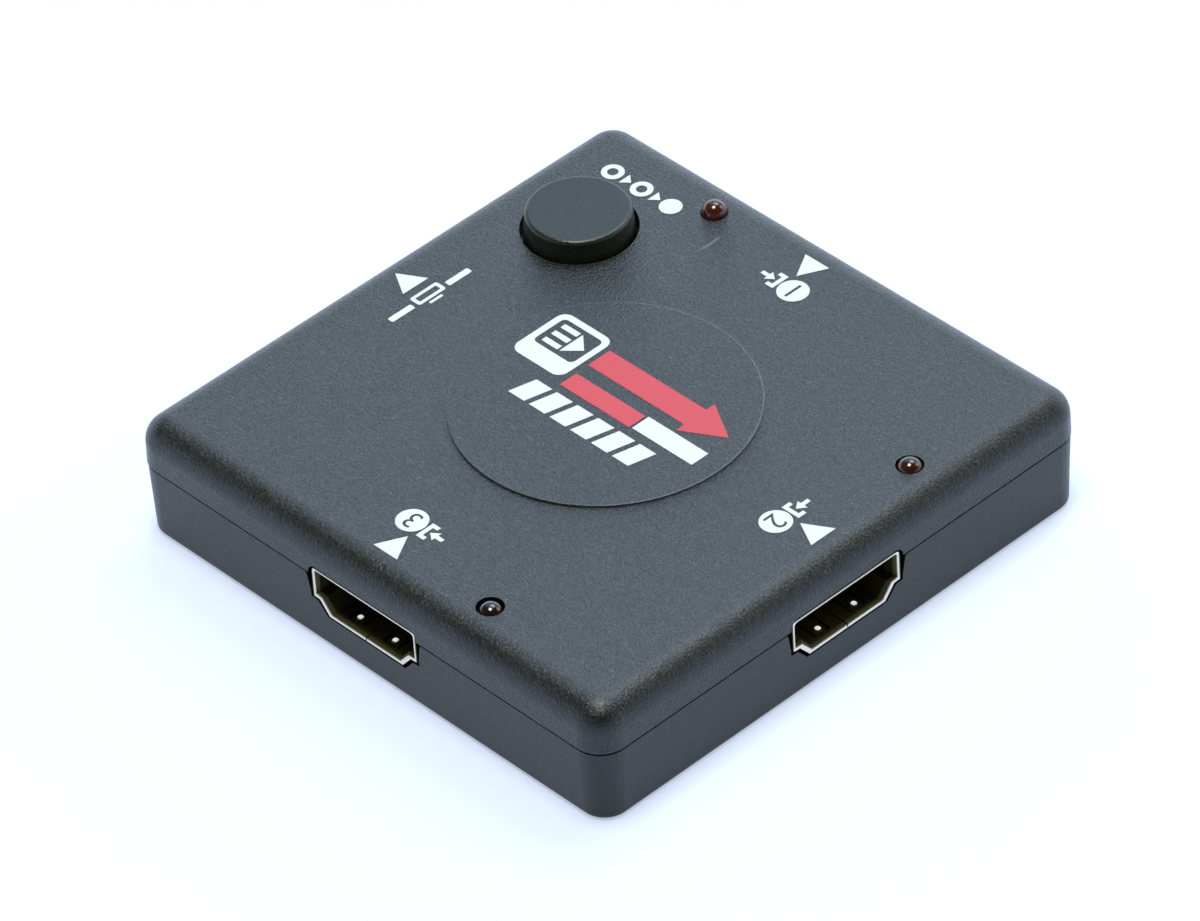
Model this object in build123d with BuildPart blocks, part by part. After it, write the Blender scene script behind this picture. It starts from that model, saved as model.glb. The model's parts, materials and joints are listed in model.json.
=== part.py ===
from build123d import *
from math import atan2, cos, degrees, radians, sin
import os

# A flat square box that switches one of three video inputs to one output.
# The origin is the centre of the underside, +Z is up, and sizes are in millimetres.
# Input 1 faces +Y, input 2 faces +X, input 3 faces -Y and the output faces -X.

# Case
case_side = 68.0
case_height = 14.2
seam_height = 8.9
seam_gap = 0.22
case_corner_radius = 3.2
top_edge_radius = 2.9
bottom_edge_radius = 0.7
upper_draft = 0.12
lower_draft = 0.3
lower_step_in = 0.08
wall = 1.8
top_thickness = 1.6
floor_thickness = 1.5
ceiling_edge_radius = 1.2
raised_disc_radius = 16.05
raised_disc_height = 0.25
raised_disc_edge_radius = 0.08
overrun = 1.0

# Lip of the lower cover, which stands in a rebate of the upper one
lip_thickness = 0.8
lip_height = 1.1
lip_clearance = 0.1

# Circuit board
board_standoff = 1.4
board_thickness = 1.6
board_clearance = 0.4

# Case screws, with their bosses below the board and posts above it
screw_inset = 5.4
screw_head_radius = 1.9
screw_head_height = 1.25
screw_head_recess = 1.6
screw_head_clearance = 0.2
screw_head_edge_radius = 0.35
screw_thread_radius = 1.0
screw_hole_clearance = 0.2
screw_length = 8.0
screw_tip_length = 0.9
screw_drive_width = 0.45
screw_drive_length = 2.2
screw_drive_depth = 0.8
boss_radius = 3.0
post_radius = 2.6
pilot_clearance = 0.05
pilot_depth = 7.6

# Video sockets: the cavity has the standard size, and the shell is bent round it
cavity_width = 14.0
cavity_height = 4.55
cavity_floor_width = 9.5
cavity_side_height = 2.95
cavity_shoulder_width = 0.95
cavity_shoulder_drop = 0.06
cavity_corner_radius = 0.35
shell_wall = 0.32
shell_length = 11.1
shell_standoff = 0.05
mouth_recess = 0.2
mouth_depth = 0.5
mouth_flare_across = 0.25
mouth_flare_up = 0.12
port_gap = 0.3
port_throat_radius = 0.45
port_throat_depth = 2.4
port_throat_lean = 0.4
shell_seam_width = 0.14
shell_leg_width = 1.6
shell_leg_front = 3.4
shell_leg_rear = 9.4
shell_leg_stickout = 0.7
leg_slot_clearance = 0.25

# Spring fingers of a socket shell, each with a small bump that bears on the plug
finger_offset = 2.55
finger_width = 1.6
finger_length = 4.4
finger_slot = 0.3
finger_setback = 0.85
bump_setback = 1.65
bump_radius = 0.42
bump_height = 0.26

# Insulator and contacts of a socket
insulator_clearance = 0.03
insulator_back = 11.5
insulator_block_depth = 3.2
tongue_width = 11.4
tongue_thickness = 1.5
tongue_drop = 1.45
tongue_setback = 2.2
tongue_tip_chamfer = 0.3
contact_pitch = 1.0
contact_width = 0.3
contact_thickness = 0.12
contact_setback = 0.5
contact_foot = 1.0
upper_contact_count = 10
lower_contact_count = 9

# Indicator lamps
led_inset = 4.8
led_from_port = 13.9
led_radius = 1.4
led_height = 5.3
led_flange_radius = 1.9
led_flange_height = 1.0
led_flange_flat = 0.4
led_hole_clearance = 0.07
led_lead_size = 0.5
led_lead_pitch = 2.54
led_lead_stickout = 0.8
lead_hole_clearance = 0.2
led_1_stand = 1.35
led_2_stand = 0.68
led_3_stand = 0.35

# Select button
button_inset_x = 11.5
button_room_share = 0.7156
button_stand = 2.4
button_top_radius = 5.62
button_skirt_radius = 5.95
button_rim_radius = 0.45
button_clearance = 0.3
button_top_thickness = 1.4
button_skirt_wall = 1.1
button_flange_radius = 7.0
button_flange_height = 0.8
button_flange_gap = 0.35
button_stem_radius = 3.1
button_stem_grip = 2.2
button_socket_clearance = 0.02

# Push switch under the button
switch_side = 12.0
switch_corner_radius = 0.6
switch_base_height = 3.6
switch_recess_radius = 4.4
switch_recess_floor = 1.3
switch_cover_side = 11.7
switch_cover_thickness = 0.3
switch_rivet_inset = 1.3
switch_rivet_radius = 0.65
switch_rivet_height = 0.55
switch_rivet_clearance = 0.05
plunger_disc_radius = 4.1
plunger_disc_thickness = 0.8
plunger_neck_radius = 3.45
plunger_neck_rise = 0.6
plunger_head_side = 3.8
plunger_head_rise = 2.8
plunger_clearance = 0.15
plunger_top_gap = 0.02
plunger_nub_radius = 1.3
dome_radius = 3.6
dome_rise = 0.55
dome_thickness = 0.12
terminal_width = 1.0
terminal_thickness = 0.3
terminal_pitch = 5.0
terminal_rise = 1.2
terminal_stickout = 0.7

# Parts on the circuit board
chip_standoff = 0.1
main_chip_side = 10.0
main_chip_height = 1.4
main_chip_lead_count = 16
main_chip_lead_pitch = 0.5
main_chip_lead_width = 0.22
logic_chip_length = 8.65
logic_chip_width = 3.9
logic_chip_height = 1.5
logic_chip_lead_count = 7
logic_chip_lead_pitch = 1.27
logic_chip_lead_width = 0.42
logic_chip_room_shares = (0.2357, 0.2286)
lead_thickness = 0.15
lead_shoulder = 0.25
lead_reach = 1.0
lead_exit_height = 0.7
chip_edge = 0.12
regulator_length = 6.5
regulator_width = 3.5
regulator_height = 1.6
regulator_lead_count = 3
regulator_lead_pitch = 2.3
regulator_lead_width = 0.7
regulator_tab_width = 3.0
regulator_room_shares = (0.24286, 0.2286)
filter_can_radius = 2.5
filter_can_height = 5.4
filter_base_side = 5.3
filter_base_height = 0.9
filter_can_edge_radius = 0.4
filter_room_share = 0.25
capacitor_length = 1.6
capacitor_width = 0.8
capacitor_height = 0.8
capacitor_pitch = 3.0
capacitor_from_centre = 8.6
capacitors_per_side = 3
resistor_length = 1.6
resistor_width = 0.8
resistor_height = 0.45
resistor_pitch = 1.9
resistor_inset = 15.4
resistors_per_port = 4
diode_length = 2.7
diode_width = 1.6
diode_height = 1.1
diode_room_share = 0.3682
diode_inset = 9.4

# Heights worked out from the sizes above
seam_bottom = seam_height - seam_gap / 2
seam_top = seam_height + seam_gap / 2
lip_top = seam_bottom + lip_height
ceiling = case_height - top_thickness
board_bottom = floor_thickness + board_standoff
board_top = board_bottom + board_thickness
cavity_floor = board_top + shell_standoff + shell_wall
cavity_ceiling = cavity_floor + cavity_height
tongue_top = cavity_ceiling - tongue_drop
tongue_bottom = tongue_top - tongue_thickness
led_tops = {
    "led_1": case_height + led_1_stand,
    "led_2": case_height + led_2_stand,
    "led_3": case_height + led_3_stand,
}
switch_base_top = board_top + switch_base_height
switch_cover_top = switch_base_top + switch_cover_thickness
dome_floor = board_top + switch_recess_floor
dome_top = dome_floor + dome_rise + dome_thickness
plunger_disc_top = switch_base_top - plunger_top_gap
plunger_neck_top = switch_cover_top + plunger_neck_rise
plunger_top = plunger_neck_top + plunger_head_rise

# Places worked out from the sizes above
half_side = case_side / 2
mouth_distance = half_side - mouth_recess
led_from_centre = half_side - led_inset
screw_offset = half_side - screw_inset
socket_half_width = cavity_width / 2 + shell_wall
button_x = button_inset_x - half_side
resistor_from_centre = half_side - resistor_inset
diode_from_centre = half_side - diode_inset

# The push switch stands between the output socket and a screw post
button_lowest_y = socket_half_width + switch_side / 2
button_highest_y = screw_offset - post_radius - switch_side / 2
button_y = button_lowest_y + button_room_share * (button_highest_y - button_lowest_y)

# A diode stands between its socket and the line of the push switch's edge
switch_edge = -button_x - switch_side / 2
diode_along = socket_half_width + diode_room_share * (switch_edge - socket_half_width)

# The other parts stand in the corners between the main chip's leads and the sides
chip_reach = main_chip_side / 2 + lead_reach
chip_room = half_side - chip_reach
logic_chip_x = -chip_reach - logic_chip_room_shares[0] * chip_room
logic_chip_y = -chip_reach - logic_chip_room_shares[1] * chip_room
regulator_x = chip_reach + regulator_room_shares[0] * chip_room
regulator_y = -chip_reach - regulator_room_shares[1] * chip_room
filter_from_centre = chip_reach + filter_room_share * chip_room
filter_place = (filter_from_centre, filter_from_centre)

# Screws, lamps, legs and terminals
screw_places = [
    (x, y)
    for x in (-screw_offset, screw_offset)
    for y in (-screw_offset, screw_offset)
]
port_angles = {"in_1": 90, "in_2": 0, "in_3": 270, "out": 180}
led_places = {
    "led_1": (-led_from_port, led_from_centre),
    "led_2": (led_from_centre, led_from_port),
    "led_3": (led_from_port, -led_from_centre),
}
leg_places = [
    (across * (cavity_width + shell_wall) / 2, inwards)
    for across in (-1, 1)
    for inwards in (shell_leg_front, shell_leg_rear)
]
terminal_places = [
    (button_x + across * (switch_side + terminal_thickness) / 2, button_y + along * terminal_pitch / 2)
    for across in (-1, 1)
    for along in (-1, 1)
]
rivet_offset = switch_side / 2 - switch_rivet_inset


def port_plane(angle, distance):
    """Upright plane at a distance from the centre: x runs along the wall, y up and z outwards."""
    out_x, out_y = cos(radians(angle)), sin(radians(angle))
    origin = (distance * out_x, distance * out_y, 0)
    return Plane(origin=origin, x_dir=(-out_y, out_x, 0), z_dir=(out_x, out_y, 0))


def level_plane(angle, distance, height):
    """Level plane at a port: x runs along the wall, y towards the centre of the case."""
    out_x, out_y = cos(radians(angle)), sin(radians(angle))
    origin = (distance * out_x, distance * out_y, height)
    return Plane(origin=origin, x_dir=(-out_y, out_x, 0), z_dir=(0, 0, 1))


def side_plane(angle, distance, along):
    """Upright plane across a port: x runs towards the centre of the case and y up."""
    out_x, out_y = cos(radians(angle)), sin(radians(angle))
    origin = (distance * out_x - along * out_y, distance * out_y + along * out_x, 0)
    return Plane(origin=origin, x_dir=(-out_x, -out_y, 0), z_dir=(-out_y, out_x, 0))


def case_outline(inset, height):
    """Rounded square, drawn in from the side of the case, at a height."""
    side = case_side - 2 * inset
    with BuildSketch(Plane.XY.offset(height)) as outline:
        RectangleRounded(side, side, case_corner_radius - inset)
    return outline.sketch


def socket_outline(plane, across, up):
    """The D-shaped outline of a socket's cavity, grown by these amounts across and up."""
    half_top = cavity_width / 2 + across
    half_floor = cavity_floor_width / 2 + across
    top = cavity_ceiling + up
    floor = cavity_floor - up
    shoulder = cavity_ceiling - cavity_side_height - up
    half_shoulder = half_top - cavity_shoulder_width
    right = [
        (half_top, top),
        (half_top, shoulder),
        (half_shoulder, shoulder - cavity_shoulder_drop),
        (half_floor, floor),
    ]
    left = [(-x, y) for x, y in reversed(right)]
    with BuildSketch(plane) as outline:
        with BuildLine():
            Polyline(*right, *left, close=True)
        make_face()
        fillet(outline.vertices().group_by(Axis.Y)[-1], cavity_corner_radius + up)
    return outline.sketch


def port_throat(plane):
    """Opening in the rim of the lower cover at a port: its sides lean and its corners are rounded."""
    foot_half = cavity_width / 2 + shell_wall + mouth_flare_across + port_gap
    rim_half = foot_half + port_throat_lean
    top_half = rim_half + 2 * port_throat_radius
    right = [
        (foot_half, seam_bottom - port_throat_depth),
        (rim_half, seam_bottom),
        (top_half, seam_bottom),
        (top_half, lip_top + overrun),
    ]
    left = [(-x, y) for x, y in reversed(right)]
    with BuildSketch(plane) as throat:
        with BuildLine():
            Polyline(*right, *left, close=True)
        make_face()
        rim = throat.vertices().group_by(Axis.Y)[1].sort_by(Axis.X)
        fillet(rim[1:3], port_throat_radius)
    return throat.sketch


def cut_ports(lower):
    """Cuts the four socket openings through the walls of a cover."""
    across = shell_wall + mouth_flare_across + port_gap
    up = shell_wall + mouth_flare_up + port_gap
    depth = wall + 2 * overrun
    for angle in port_angles.values():
        plane = port_plane(angle, half_side + overrun)
        extrude(socket_outline(plane, across, up), amount=-depth, mode=Mode.SUBTRACT)
        if lower:
            extrude(port_throat(plane), amount=-depth, mode=Mode.SUBTRACT)


def save(piece, name):
    """Labels a finished piece and writes it to its own file."""
    piece.part.label = name
    export_step(piece.part, "parts/" + name + ".step")


os.makedirs("parts", exist_ok=True)

# Lower cover: floor, leaning walls, lip and four screw bosses
with BuildPart() as bottom_cover:
    lean = degrees(atan2(lower_draft, seam_bottom))
    extrude(case_outline(lower_step_in + lower_draft, 0), amount=seam_bottom, taper=-lean)
    fillet(bottom_cover.faces().sort_by(Axis.Z)[0].edges(), bottom_edge_radius)
    extrude(case_outline(wall - lip_thickness, seam_bottom), amount=lip_height)
    extrude(case_outline(wall, floor_thickness), amount=lip_top - floor_thickness, mode=Mode.SUBTRACT)
    with BuildSketch(Plane.XY.offset(floor_thickness)):
        with Locations(*screw_places):
            Circle(boss_radius)
    extrude(amount=board_standoff)
    with Locations(*[Location((x, y, 0), (180, 0, 0)) for x, y in screw_places]):
        CounterBoreHole(
            screw_thread_radius + screw_hole_clearance,
            screw_head_radius + screw_head_clearance,
            screw_head_recess,
        )
    cut_ports(lower=True)
save(bottom_cover, "bottom_cover")

# Upper cover: leaning walls, rounded top edge, raised disc, posts and holes
with BuildPart() as hollow:
    extrude(case_outline(wall, seam_top), amount=ceiling - seam_top)
    fillet(hollow.faces().sort_by(Axis.Z)[-1].edges(), ceiling_edge_radius)

with BuildPart() as top_cover:
    lean = degrees(atan2(upper_draft, case_height - seam_top))
    extrude(case_outline(0, seam_top), amount=case_height - seam_top, taper=lean)
    fillet(top_cover.faces().sort_by(Axis.Z)[-1].edges(), top_edge_radius)
    with BuildSketch(Plane.XY.offset(case_height)):
        Circle(raised_disc_radius)
    extrude(amount=raised_disc_height)
    fillet(top_cover.faces().sort_by(Axis.Z)[-1].edges(), raised_disc_edge_radius)
    add(hollow.part, mode=Mode.SUBTRACT)
    extrude(
        case_outline(wall - lip_thickness - lip_clearance, seam_top),
        amount=lip_top - seam_top,
        mode=Mode.SUBTRACT,
    )
    with BuildSketch(Plane.XY.offset(board_top)):
        with Locations(*screw_places):
            Circle(post_radius)
    extrude(amount=ceiling - board_top)
    with BuildSketch(Plane.XY.offset(board_top)):
        with Locations(*screw_places):
            Circle(screw_thread_radius + pilot_clearance)
    extrude(amount=pilot_depth, mode=Mode.SUBTRACT)
    with BuildSketch(Plane.XY.offset(ceiling - overrun)):
        with Locations((button_x, button_y)):
            Circle(button_skirt_radius + button_clearance)
        with Locations(*led_places.values()):
            Circle(led_radius + led_hole_clearance)
    extrude(amount=top_thickness + raised_disc_height + 2 * overrun, mode=Mode.SUBTRACT)
    cut_ports(lower=False)
save(top_cover, "top_cover")

# Case screws: pan heads in the floor's recesses, plain shanks in the posts
screw_seat = screw_head_recess
screw_head_bottom = screw_seat - screw_head_height
with BuildPart() as screw:
    with BuildSketch(Plane.XZ):
        with BuildLine():
            Polyline(
                (0, screw_head_bottom),
                (screw_head_radius, screw_head_bottom),
                (screw_head_radius, screw_seat),
                (screw_thread_radius, screw_seat),
                (screw_thread_radius, screw_seat + screw_length - screw_tip_length),
                (0, screw_seat + screw_length),
                close=True,
            )
        make_face()
    revolve(axis=Axis.Z)
    fillet(screw.edges().group_by(Axis.Z)[0], screw_head_edge_radius)
    with BuildSketch(Plane.XY.offset(screw_head_bottom)):
        Rectangle(screw_drive_length, screw_drive_width)
        Rectangle(screw_drive_width, screw_drive_length)
    extrude(amount=screw_drive_depth, mode=Mode.SUBTRACT)

with BuildPart() as case_screws:
    with Locations(*screw_places):
        add(screw.part)
save(case_screws, "case_screws")

# Circuit board, with holes for the screws, legs, leads and terminals
with BuildPart() as circuit_board:
    extrude(case_outline(wall + board_clearance, board_bottom), amount=board_thickness)
    with Locations(*[(x, y, board_top) for x, y in screw_places]):
        Hole(screw_thread_radius + screw_hole_clearance, board_thickness)
    with BuildSketch(Plane.XY.offset(board_bottom)):
        for x, y in led_places.values():
            spread_x = led_lead_pitch / 2 if abs(y) > abs(x) else 0
            spread_y = led_lead_pitch / 2 - spread_x
            with Locations((x - spread_x, y - spread_y), (x + spread_x, y + spread_y)):
                Circle(led_lead_size / 2 + lead_hole_clearance)
        with Locations(*terminal_places):
            Rectangle(terminal_thickness + 2 * lead_hole_clearance, terminal_width + 2 * lead_hole_clearance)
    extrude(amount=board_thickness, mode=Mode.SUBTRACT)
    for angle in port_angles.values():
        with BuildSketch(level_plane(angle, mouth_distance, board_bottom)):
            with Locations(*leg_places):
                Rectangle(shell_wall + 2 * leg_slot_clearance, shell_leg_width + 2 * leg_slot_clearance)
        extrude(amount=board_thickness, mode=Mode.SUBTRACT)
save(circuit_board, "circuit_board")


def finger_slots(angle, height):
    """The U-shaped slots that free the two spring fingers in one wall of a socket shell."""
    with BuildSketch(level_plane(angle, mouth_distance, height)) as slots:
        with Locations((-finger_offset, finger_setback), (finger_offset, finger_setback)):
            Rectangle(
                finger_width + 2 * finger_slot,
                finger_length + finger_slot,
                align=(Align.CENTER, Align.MIN),
            )
        with Locations(
            (-finger_offset, finger_setback + finger_slot),
            (finger_offset, finger_setback + finger_slot),
        ):
            Rectangle(finger_width, finger_length, align=(Align.CENTER, Align.MIN), mode=Mode.SUBTRACT)
    return slots.sketch


def finger_bump(plane, height, rise):
    """Half of the side view of the round bump on a spring finger, which rises into the cavity."""
    top = (0, height + rise)
    edge = (bump_radius, height)
    with BuildSketch(plane) as bump:
        with BuildLine():
            TangentArc(top, edge, tangent=(1, 0))
            Polyline(edge, (0, height), top)
        make_face()
    return bump.sketch


def make_socket_shell(name, angle):
    """Bent metal shell of one socket: flared mouth, tube with a seam, legs and four spring fingers."""
    mouth = port_plane(angle, mouth_distance)
    throat = port_plane(angle, mouth_distance - mouth_depth)
    tube_length = shell_length - mouth_depth
    leg_bottom = board_bottom - shell_leg_stickout
    leg_top = cavity_ceiling - cavity_side_height
    with BuildPart() as shell:
        extrude(socket_outline(throat, shell_wall, shell_wall), amount=-tube_length)
        loft(
            [
                socket_outline(throat, shell_wall, shell_wall),
                socket_outline(mouth, shell_wall + mouth_flare_across, shell_wall + mouth_flare_up),
            ]
        )
        with BuildSketch(level_plane(angle, mouth_distance, leg_bottom)):
            with Locations(*leg_places):
                Rectangle(shell_wall, shell_leg_width)
        extrude(amount=leg_top - leg_bottom)
        extrude(socket_outline(throat, 0, 0), amount=-tube_length, mode=Mode.SUBTRACT)
        loft(
            [socket_outline(throat, 0, 0), socket_outline(mouth, mouth_flare_across, mouth_flare_up)],
            mode=Mode.SUBTRACT,
        )
        for height in (cavity_floor - shell_wall, cavity_ceiling):
            extrude(finger_slots(angle, height), amount=shell_wall, mode=Mode.SUBTRACT)
        seam_foot = cavity_floor - shell_wall - mouth_flare_up
        with BuildSketch(level_plane(angle, mouth_distance, seam_foot)):
            Rectangle(shell_seam_width, shell_length, align=(Align.CENTER, Align.MIN))
        extrude(amount=cavity_floor - seam_foot, mode=Mode.SUBTRACT)
        for along in (-finger_offset, finger_offset):
            plane = side_plane(angle, mouth_distance - bump_setback, along)
            for height, rise in ((cavity_floor, bump_height), (cavity_ceiling, -bump_height)):
                revolve(finger_bump(plane, height, rise), axis=Axis(plane.origin, (0, 0, 1)))
    save(shell, "socket_shell_" + name)


def contact_profile(angle, along, height):
    """Side view of a contact: a strip on the tongue, a tail behind the block and a foot on the board."""
    start = tongue_setback + contact_setback
    back = insulator_back
    foot_end = back + contact_thickness + contact_foot
    with BuildSketch(side_plane(angle, mouth_distance, along)) as profile:
        with BuildLine():
            Polyline(
                (start, height),
                (start, height + contact_thickness),
                (back + contact_thickness, height + contact_thickness),
                (back + contact_thickness, board_top + contact_thickness),
                (foot_end, board_top + contact_thickness),
                (foot_end, board_top),
                (back, board_top),
                (back, height),
                close=True,
            )
        make_face()
    return profile.sketch


def make_socket_inside(name, angle):
    """Insulator of one socket, a block with a tongue, and the two rows of contacts on it."""
    with BuildPart() as contacts:
        for count, height in (
            (upper_contact_count, tongue_top),
            (lower_contact_count, tongue_bottom - contact_thickness),
        ):
            for i in range(count):
                along = (i - (count - 1) / 2) * contact_pitch
                extrude(contact_profile(angle, along, height), amount=contact_width / 2, both=True)
    save(contacts, "socket_contacts_" + name)
    block_front = insulator_back - insulator_block_depth
    with BuildPart() as insulator:
        plane = port_plane(angle, mouth_distance - insulator_back)
        shrink = -insulator_clearance
        extrude(socket_outline(plane, shrink, shrink), amount=insulator_block_depth)
        with BuildSketch(port_plane(angle, mouth_distance - block_front)):
            with Locations((0, tongue_bottom)):
                Rectangle(tongue_width, tongue_thickness, align=(Align.CENTER, Align.MIN))
        extrude(amount=block_front - tongue_setback)
        outwards = Axis((0, 0, 0), (cos(radians(angle)), sin(radians(angle)), 0))
        tip = insulator.faces().sort_by(outwards)[-1]
        chamfer(tip.edges(), tongue_tip_chamfer)
        add(contacts.part, mode=Mode.SUBTRACT)
    save(insulator, "socket_insulator_" + name)


for port, port_angle in port_angles.items():
    make_socket_shell(port, port_angle)
    make_socket_inside(port, port_angle)


def make_led(name, place):
    """Indicator lamp: a domed lens with a flange, and two leads down through the board."""
    x, y = place
    top = led_tops[name]
    bottom = top - led_height
    with BuildPart() as lens:
        with BuildSketch(Plane.XY.offset(bottom)):
            with Locations(place):
                Circle(led_flange_radius)
        extrude(amount=led_flange_height)
        with BuildSketch(Plane.XY.offset(bottom)):
            with Locations((x - led_flange_radius, y)):
                Rectangle(2 * led_flange_flat, 2 * led_flange_radius)
        extrude(amount=led_flange_height, mode=Mode.SUBTRACT)
        with BuildSketch(Plane.XY.offset(bottom)):
            with Locations(place):
                Circle(led_radius)
        extrude(amount=led_height - led_radius)
        with Locations((x, y, top - led_radius)):
            Sphere(led_radius)
    save(lens, name + "_lens")
    lead_bottom = board_bottom - led_lead_stickout
    spread_x = led_lead_pitch / 2 if abs(y) > abs(x) else 0
    spread_y = led_lead_pitch / 2 - spread_x
    with BuildPart() as leads:
        with BuildSketch(Plane.XY.offset(lead_bottom)):
            with Locations((x - spread_x, y - spread_y), (x + spread_x, y + spread_y)):
                Rectangle(led_lead_size, led_lead_size)
        extrude(amount=bottom - lead_bottom)
    save(leads, name + "_leads")


for led_name, led_place in led_places.items():
    make_led(led_name, led_place)

# Select button: a capped skirt with a flange under the cover and a stem on the plunger
button_axis = Axis((button_x, button_y, 0), (0, 0, 1))
button_side = Plane(origin=(button_x, button_y, 0), x_dir=(1, 0, 0), z_dir=(0, -1, 0))
button_top = case_height + button_stand
button_underside = button_top - button_top_thickness
flange_top = ceiling - button_flange_gap
flange_bottom = flange_top - button_flange_height
skirt_inner_radius = button_skirt_radius - button_skirt_wall
stem_bottom = plunger_top - button_stem_grip
with BuildPart() as button_cap:
    with BuildSketch(button_side):
        with BuildLine():
            Polyline(
                (0, button_top),
                (button_top_radius, button_top),
                (button_skirt_radius, flange_top),
                (button_flange_radius, flange_top),
                (button_flange_radius, flange_bottom),
                (skirt_inner_radius, flange_bottom),
                (skirt_inner_radius, button_underside),
                (button_stem_radius, button_underside),
                (button_stem_radius, stem_bottom),
                (0, stem_bottom),
                close=True,
            )
        make_face()
    revolve(axis=button_axis)
    fillet(button_cap.edges().group_by(Axis.Z)[-1], button_rim_radius)
    with BuildSketch(Plane.XY.offset(stem_bottom)):
        with Locations((button_x, button_y)):
            socket_side = plunger_head_side + 2 * button_socket_clearance
            Rectangle(socket_side, socket_side)
    extrude(amount=plunger_top - stem_bottom, mode=Mode.SUBTRACT)
save(button_cap, "button_cap")

# Push switch: base, metal cover, plunger, snap dome and four terminals
switch_plane = Plane.XY.offset(board_top)
rivet_places = [
    (button_x + across * rivet_offset, button_y + along * rivet_offset)
    for across in (-1, 1)
    for along in (-1, 1)
]
with BuildPart() as switch_base:
    with BuildSketch(switch_plane):
        with Locations((button_x, button_y)):
            RectangleRounded(switch_side, switch_side, switch_corner_radius)
    extrude(amount=switch_base_height)
    with BuildSketch(Plane.XY.offset(dome_floor)):
        with Locations((button_x, button_y)):
            Circle(switch_recess_radius)
    extrude(amount=switch_base_top - dome_floor, mode=Mode.SUBTRACT)
    with BuildSketch(Plane.XY.offset(switch_base_top)):
        with Locations(*rivet_places):
            Circle(switch_rivet_radius)
    extrude(amount=switch_rivet_height)
save(switch_base, "switch_base")

with BuildPart() as switch_cover:
    with BuildSketch(Plane.XY.offset(switch_base_top)):
        with Locations((button_x, button_y)):
            RectangleRounded(switch_cover_side, switch_cover_side, switch_corner_radius)
            Circle(plunger_neck_radius + plunger_clearance, mode=Mode.SUBTRACT)
        with Locations(*rivet_places):
            Circle(switch_rivet_radius + switch_rivet_clearance, mode=Mode.SUBTRACT)
    extrude(amount=switch_cover_thickness)
save(switch_cover, "switch_cover")

with BuildPart() as switch_plunger:
    with BuildSketch(button_side):
        with BuildLine():
            Polyline(
                (0, dome_top),
                (plunger_nub_radius, dome_top),
                (plunger_nub_radius, plunger_disc_top - plunger_disc_thickness),
                (plunger_disc_radius, plunger_disc_top - plunger_disc_thickness),
                (plunger_disc_radius, plunger_disc_top),
                (plunger_neck_radius, plunger_disc_top),
                (plunger_neck_radius, plunger_neck_top),
                (0, plunger_neck_top),
                close=True,
            )
        make_face()
    revolve(axis=button_axis)
    with BuildSketch(Plane.XY.offset(plunger_neck_top)):
        with Locations((button_x, button_y)):
            Rectangle(plunger_head_side, plunger_head_side)
    extrude(amount=plunger_head_rise)
save(switch_plunger, "switch_plunger")

with BuildPart() as switch_dome:
    with BuildSketch(button_side):
        with BuildLine():
            TangentArc((0, dome_top), (dome_radius, dome_floor + dome_thickness), tangent=(1, 0))
            Line((dome_radius, dome_floor + dome_thickness), (dome_radius, dome_floor))
            TangentArc((0, dome_top - dome_thickness), (dome_radius, dome_floor), tangent=(1, 0))
            Line((0, dome_top - dome_thickness), (0, dome_top))
        make_face()
    revolve(axis=button_axis)
save(switch_dome, "switch_dome")

with BuildPart() as switch_terminals:
    terminal_bottom = board_bottom - terminal_stickout
    with BuildSketch(Plane.XY.offset(terminal_bottom)):
        with Locations(*terminal_places):
            Rectangle(terminal_thickness, terminal_width)
    extrude(amount=board_top + terminal_rise - terminal_bottom)
save(switch_terminals, "switch_terminals")


def add_chip_body(x, y, length, width, height):
    """Moulded chip body with bevelled edges, just clear of the board."""
    with BuildSketch(Plane.XY.offset(board_top + chip_standoff)) as outline:
        with Locations((x, y)):
            Rectangle(length, width)
    body = extrude(outline.sketch, amount=height)
    chamfer(body.faces().sort_by(Axis.Z)[-1].edges(), chip_edge)


def add_leads(x, y, angle, half_body, count, pitch, lead_width):
    """A row of bent leads along one side of a chip, from its body down to the board."""
    out_x, out_y = cos(radians(angle)), sin(radians(angle))
    exit_bottom = board_top + lead_exit_height
    exit_top = exit_bottom + lead_thickness
    knee = half_body + lead_shoulder
    end = half_body + lead_reach
    for i in range(count):
        along = (i - (count - 1) / 2) * pitch
        origin = (x - along * out_y, y + along * out_x, 0)
        with BuildSketch(Plane(origin=origin, x_dir=(out_x, out_y, 0), z_dir=(out_y, -out_x, 0))) as lead:
            with BuildLine():
                Polyline(
                    (half_body, exit_bottom),
                    (half_body, exit_top),
                    (knee + lead_thickness, exit_top),
                    (knee + lead_thickness, board_top + lead_thickness),
                    (end, board_top + lead_thickness),
                    (end, board_top),
                    (knee, board_top),
                    (knee, exit_bottom),
                    close=True,
                )
            make_face()
        extrude(lead.sketch, amount=lead_width / 2, both=True)


# Main switching chip and its leads on all four sides
with BuildPart() as switching_chip:
    add_chip_body(0, 0, main_chip_side, main_chip_side, main_chip_height)
save(switching_chip, "switching_chip")

with BuildPart() as switching_chip_leads:
    for turn in port_angles.values():
        add_leads(
            0,
            0,
            turn,
            main_chip_side / 2,
            main_chip_lead_count,
            main_chip_lead_pitch,
            main_chip_lead_width,
        )
save(switching_chip_leads, "switching_chip_leads")

# Small chip that reads the button and lights the lamps
with BuildPart() as control_chip:
    add_chip_body(logic_chip_x, logic_chip_y, logic_chip_length, logic_chip_width, logic_chip_height)
save(control_chip, "control_chip")

with BuildPart() as control_chip_leads:
    for turn in (90, 270):
        add_leads(
            logic_chip_x,
            logic_chip_y,
            turn,
            logic_chip_width / 2,
            logic_chip_lead_count,
            logic_chip_lead_pitch,
            logic_chip_lead_width,
        )
save(control_chip_leads, "control_chip_leads")

# Voltage regulator with three leads and a wide cooling tab
with BuildPart() as voltage_regulator:
    add_chip_body(regulator_x, regulator_y, regulator_length, regulator_width, regulator_height)
save(voltage_regulator, "voltage_regulator")

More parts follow.
